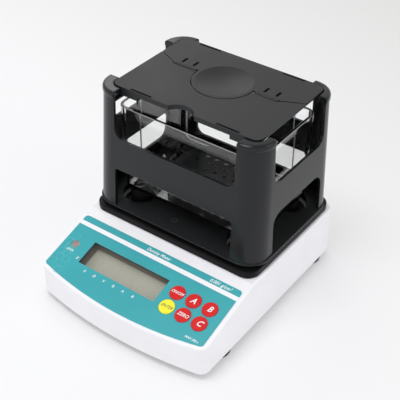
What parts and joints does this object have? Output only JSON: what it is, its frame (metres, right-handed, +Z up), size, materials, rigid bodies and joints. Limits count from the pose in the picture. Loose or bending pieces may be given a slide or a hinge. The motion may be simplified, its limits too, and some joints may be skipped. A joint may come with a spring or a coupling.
{
  "type": "benchtop density meter",
  "caption": "Benchtop density meter: sloping keypad base, black frame on the weighing tray round a clear water tank, lift-off table with a dish and a hinged front flap.",
  "frame": {"origin": "middle of the base's bounding box, on the surface it stands on", "axes": "+Z up, +X to the user's right, -Y towards the user"},
  "size_m": [0.1912, 0.227, 0.1939],
  "materials": {
    "white_plastic": "satin moulded",
    "black_plastic": "satin moulded",
    "teal_film": "printed membrane",
    "dark_bezel": "satin",
    "lcd_glass": "grey-green display",
    "level_vial": "clear liquid over a dark base",
    "circuit_board": "solder mask",
    "aluminium_part": "milled",
    "cast_spider": "cast",
    "screw_steel": "plated",
    "port_metal": "plated shell",
    "pin_steel": "bright",
    "wire_steel": "stainless",
    "clear_plastic": "clear acrylic",
    "foot_rubber": "moulded",
    "key_red": "satin cap",
    "key_yellow": "satin cap",
    "pillar_plastic": "satin",
    "ring_plastic": "soft"
  },
  "bodies": {
    "base": {"base_housing": "white_plastic", "base_pan": "black_plastic", "panel_overlay": "teal_film", "lcd_bezel": "dark_bezel", "lcd_display": "lcd_glass", "bubble_level": "level_vial", "keypad_board": "circuit_board", "load_cell_mount": "aluminium_part", "load_cell": "aluminium_part", "load_cell_post": "aluminium_part", "main_board": "circuit_board", "spider": "cast_spider", "platform_tray": "black_plastic", "floor_screw_front": "screw_steel", "floor_screw_rear": "screw_steel", "frame": "black_plastic", "dc_inlet": "black_plastic", "serial_port": "port_metal", "pillar_front_left": "pillar_plastic", "pillar_front_right": "pillar_plastic", "pillar_rear_left": "pillar_plastic", "pillar_rear_right": "pillar_plastic", "pillar_collar_front_left": "pillar_plastic", "pillar_collar_front_right": "pillar_plastic", "pillar_collar_rear_left": "pillar_plastic", "pillar_collar_rear_right": "pillar_plastic", "pillar_ring_front_left": "ring_plastic", "pillar_ring_front_right": "ring_plastic", "pillar_ring_rear_left": "ring_plastic", "pillar_ring_rear_right": "ring_plastic"},
    "foot_front_left": {"foot_front_left": "foot_rubber"},
    "foot_front_right": {"foot_front_right": "foot_rubber"},
    "foot_rear_left": {"foot_rear_left": "foot_rubber"},
    "foot_rear_right": {"foot_rear_right": "foot_rubber"},
    "key_on_off": {"key_on_off": "key_red"},
    "key_a": {"key_a": "key_red"},
    "key_b": {"key_b": "key_red"},
    "key_enter": {"key_enter": "key_yellow"},
    "key_zero": {"key_zero": "key_red"},
    "key_c": {"key_c": "key_red"},
    "tank": {"tank": "clear_plastic"},
    "table": {"top_table": "black_plastic", "hinge_pin_left": "pin_steel", "hinge_pin_right": "pin_steel", "basket_wire_front": "wire_steel", "basket_wire_rear": "wire_steel", "basket_dish": "wire_steel"},
    "flap": {"front_flap": "black_plastic"}
  },
  "joints": [
    {"name": "foot_front_left_turn", "type": "hinge", "parent": "base", "child": "foot_front_left", "pos_m": [-0.081, -0.065, 0], "axis": [0, 0, 1], "range_deg": [-180, 180]},
    {"name": "foot_front_right_turn", "type": "hinge", "parent": "base", "child": "foot_front_right", "pos_m": [0.081, -0.065, 0], "axis": [0, 0, 1], "range_deg": [-180, 180]},
    {"name": "foot_rear_left_turn", "type": "hinge", "parent": "base", "child": "foot_rear_left", "pos_m": [-0.081, 0.093, 0], "axis": [0, 0, 1], "range_deg": [-180, 180]},
    {"name": "foot_rear_right_turn", "type": "hinge", "parent": "base", "child": "foot_rear_right", "pos_m": [0.081, 0.093, 0], "axis": [0, 0, 1], "range_deg": [-180, 180]},
    {"name": "key_on_off_press", "type": "slide", "parent": "base", "child": "key_on_off", "axis": [0, 0.284, -0.9588], "range_m": [0, 0.0006], "stiffness_N_per_m": 1500},
    {"name": "key_a_press", "type": "slide", "parent": "base", "child": "key_a", "axis": [0, 0.284, -0.9588], "range_m": [0, 0.0006], "stiffness_N_per_m": 1500},
    {"name": "key_b_press", "type": "slide", "parent": "base", "child": "key_b", "axis": [0, 0.284, -0.9588], "range_m": [0, 0.0006], "stiffness_N_per_m": 1500},
    {"name": "key_enter_press", "type": "slide", "parent": "base", "child": "key_enter", "axis": [0, 0.284, -0.9588], "range_m": [0, 0.0006], "stiffness_N_per_m": 1500},
    {"name": "key_zero_press", "type": "slide", "parent": "base", "child": "key_zero", "axis": [0, 0.284, -0.9588], "range_m": [0, 0.0006], "stiffness_N_per_m": 1500},
    {"name": "key_c_press", "type": "slide", "parent": "base", "child": "key_c", "axis": [0, 0.284, -0.9588], "range_m": [0, 0.0006], "stiffness_N_per_m": 1500},
    {"name": "tank_lift", "type": "slide", "parent": "base", "child": "tank", "axis": [0, 0, 1], "range_m": [0, 0.008]},
    {"name": "table_lift", "type": "slide", "parent": "base", "child": "table", "axis": [0, 0, 1], "range_m": [0, 0.09]},
    {"name": "flap_hinge", "type": "hinge", "parent": "table", "child": "flap", "pos_m": [0, 0.0553, 0.1924], "axis": [-1, 0, 0], "range_deg": [0, 90]}
  ]
}
